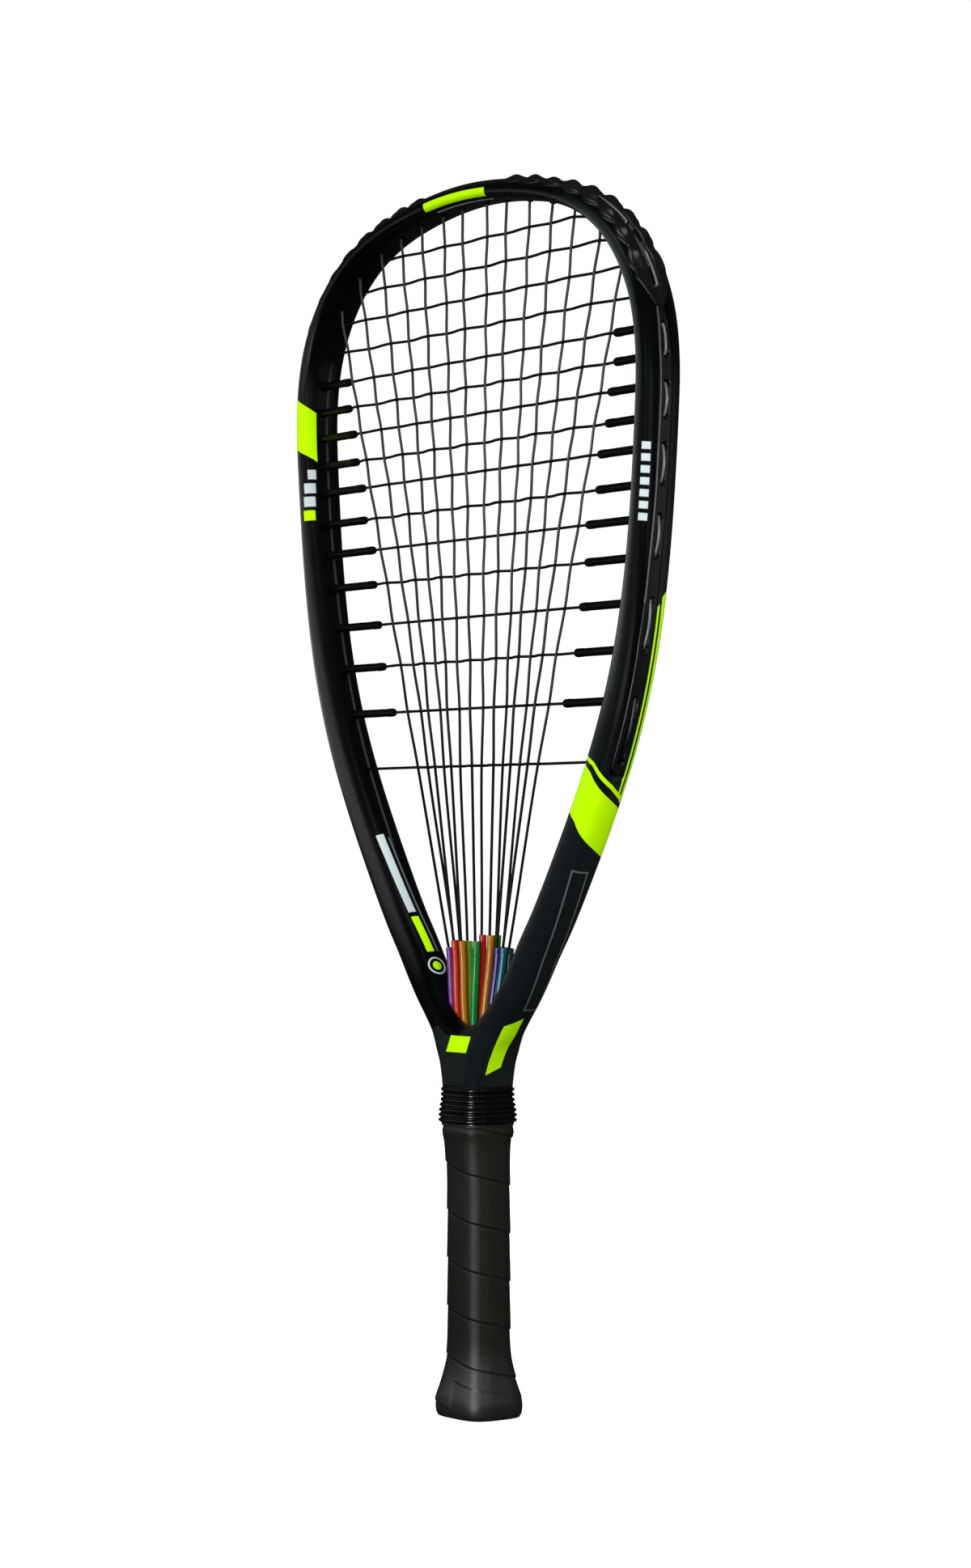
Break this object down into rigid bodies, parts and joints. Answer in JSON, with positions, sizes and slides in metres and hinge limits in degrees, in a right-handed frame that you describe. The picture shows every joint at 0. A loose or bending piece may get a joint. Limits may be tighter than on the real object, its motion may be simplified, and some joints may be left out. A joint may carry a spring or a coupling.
{
  "type": "racquetball racket",
  "caption": "Teardrop-headed racquetball racket with a hollow frame, woven string bed, long mains running through tubes into the handle, and a flared wrapped grip.",
  "frame": {"origin": "centre of the butt's flat bottom, on the floor that the racket stands on", "axes": "+Z along the handle towards the head, X across the head in the string plane, Y through the thickness with the front face at -Y"},
  "size_m": [0.2674, 0.0336, 0.5588],
  "materials": {
    "frame_lacquer": "satin black lacquer over carbon laminate, with lime green painted bands",
    "guard_plastic": "satin, moulded, black",
    "strip_plastic": "smooth satin black",
    "tube_purple": "glossy, slightly translucent",
    "tube_blue": "glossy, slightly translucent",
    "tube_orange_red": "glossy, slightly translucent",
    "tube_teal": "glossy, slightly translucent",
    "tube_gold": "glossy, slightly translucent",
    "tube_lime": "glossy, slightly translucent",
    "tube_green": "glossy, slightly translucent",
    "tube_red": "glossy, slightly translucent",
    "tube_violet": "glossy, slightly translucent",
    "tube_grey": "glossy, slightly translucent",
    "main_string": "satin monofilament",
    "cross_string": "satin monofilament",
    "anchor_plastic": "moulded, dark grey",
    "cap_plastic": "moulded, black",
    "grip_wrap": "matte synthetic leather strip, wound with overlapping edges",
    "finishing_tape": "black adhesive tape",
    "collar_rubber": "glossy ribbed rubber"
  },
  "bodies": {
    "root": {"frame": "frame_lacquer", "head_bumper_guard": "guard_plastic", "left_grommet_strip": "strip_plastic", "right_grommet_strip": "strip_plastic", "string_tube_01": "tube_purple", "string_tube_02": "tube_blue", "string_tube_03": "tube_orange_red", "string_tube_04": "tube_teal", "string_tube_05": "tube_gold", "string_tube_06": "tube_lime", "string_tube_07": "tube_green", "string_tube_08": "tube_red", "string_tube_09": "tube_gold", "string_tube_10": "tube_green", "string_tube_11": "tube_violet", "string_tube_12": "tube_blue", "string_tube_13": "tube_teal", "string_tube_14": "tube_grey", "main_string": "main_string", "cross_string": "cross_string", "string_anchor_plate": "anchor_plastic", "butt_cap": "cap_plastic", "grip_wrap": "grip_wrap", "grip_finishing_tape": "finishing_tape", "rubber_collar": "collar_rubber"}
  },
  "joints": []
}
